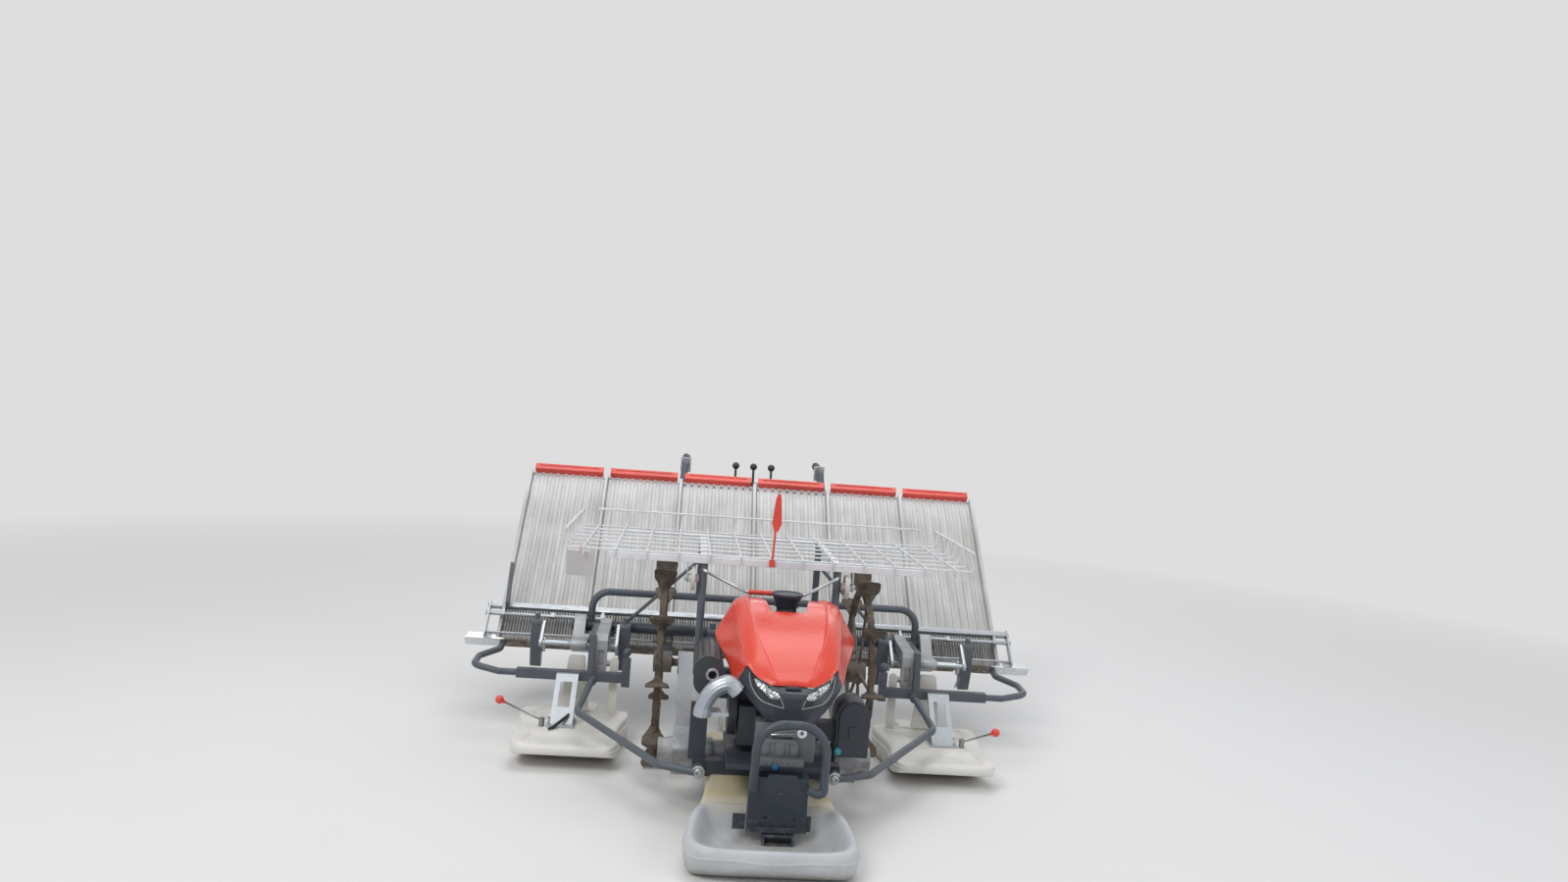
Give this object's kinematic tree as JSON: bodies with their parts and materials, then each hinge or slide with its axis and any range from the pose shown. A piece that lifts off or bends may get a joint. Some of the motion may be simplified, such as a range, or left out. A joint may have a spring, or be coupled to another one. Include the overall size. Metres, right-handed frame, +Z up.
{
  "type": "rice transplanter",
  "caption": "Walk-behind multi-row rice transplanter with an engine at the front, lugged wheels on swing arms, floats, a wire seedling rack and a wide sloping seedling tray.",
  "frame": {"origin": "on the ground under the middle of the overall box, with the machine parked on its floats and wheels", "axes": "+Z up, the machine travels towards -Y, so +X is the operator's left-hand side as they walk behind it"},
  "size_m": [2.024, 2.37, 0.9099],
  "materials": {
    "paint_grey": "semi-gloss",
    "cast": "sand-cast",
    "zinc": "zinc-plated",
    "chrome": "bright",
    "engine_dark": "fine grain",
    "muffler_black": "heat-proof matt",
    "red_shell": "gloss",
    "red_trim": "gloss",
    "lamp": "clear",
    "float_grey": "worn",
    "float_cream": "worn",
    "rack_white": "vinyl-coated",
    "tray_white": "satin",
    "roller_white": "satin",
    "hub_iron": "muddy",
    "lug_rubber": "muddy",
    "grip_rubber": "matt",
    "rod_steel": "plain"
  },
  "bodies": {
    "machine": {"transmission": "cast", "main_frame": "paint_grey", "engine": "cast", "engine_cowl": "engine_dark", "air_cleaner": "engine_dark", "muffler": "muffler_black", "exhaust_shield": "zinc", "fuel_tank": "engine_dark", "fuel_cap": "engine_dark", "nose_mask": "engine_dark", "bonnet_pins": "engine_dark", "headlamps": "lamp", "front_guard": "paint_grey", "front_cover": "paint_grey", "float_middle": "float_grey", "float_sides": "float_cream", "float_brackets": "zinc", "side_markers": "rod_steel", "bumper_pipes": "paint_grey", "rack_posts": "paint_grey", "rack_struts": "paint_grey", "rack_frame": "rack_white", "rack_wires": "rack_white", "rack_rollers": "roller_white", "roller_brackets": "zinc", "rack_bail": "zinc", "centre_marker": "red_trim", "cross_pipe": "paint_grey", "frame_hoop": "paint_grey", "side_frames": "paint_grey", "side_brackets": "cast", "planting_cases": "cast", "planting_cranks": "zinc", "planting_arms": "paint_grey", "planting_claws": "rod_steel", "claw_guards": "float_cream", "slide_rail": "chrome", "press_frame": "chrome", "press_comb": "rod_steel", "marker_hook": "paint_grey", "tray_rail": "rod_steel", "handle_frame": "paint_grey", "hand_grips": "grip_rubber", "clutch_levers": "zinc", "control_panel": "engine_dark", "control_levers": "engine_dark"},
    "tray": {"seedling_tray": "tray_white", "tray_dividers": "tray_white", "tray_flaps": "red_trim", "tray_slides": "zinc"},
    "bonnet": {"bonnet": "red_shell", "bonnet_hinges": "red_shell"},
    "arm_left": {"wheel_arm_left": "cast"},
    "arm_right": {"wheel_arm_right": "cast"},
    "wheel_left": {"wheel_hub_left": "hub_iron", "wheel_lugs_left": "lug_rubber"},
    "wheel_right": {"wheel_hub_right": "hub_iron", "wheel_lugs_right": "lug_rubber"}
  },
  "joints": [
    {"name": "arm_left_swing", "type": "hinge", "parent": "machine", "child": "arm_left", "pos_m": [0.23, -0.64, 0.16], "axis": [1, 0, 0], "range_deg": [-38, 0]},
    {"name": "wheel_left_spin", "type": "hinge", "parent": "arm_left", "child": "wheel_left", "pos_m": [0.32, -0.23394, 0.31601], "axis": [1, 0, 0], "continuous": true},
    {"name": "arm_right_swing", "type": "hinge", "parent": "machine", "child": "arm_right", "pos_m": [-0.23, -0.64, 0.16], "axis": [1, 0, 0], "range_deg": [-38, 0]},
    {"name": "wheel_right_spin", "type": "hinge", "parent": "arm_right", "child": "wheel_right", "pos_m": [-0.32, -0.23394, 0.31601], "axis": [1, 0, 0], "continuous": true},
    {"name": "tray_traverse", "type": "slide", "parent": "machine", "child": "tray", "axis": [1, 0, 0], "range_m": [-0.14, 0.14]},
    {"name": "bonnet_hinge", "type": "hinge", "parent": "machine", "child": "bonnet", "pos_m": [0.043, -0.909, 0.42], "axis": [1, 0, 0], "range_deg": [0, 60]}
  ]
}
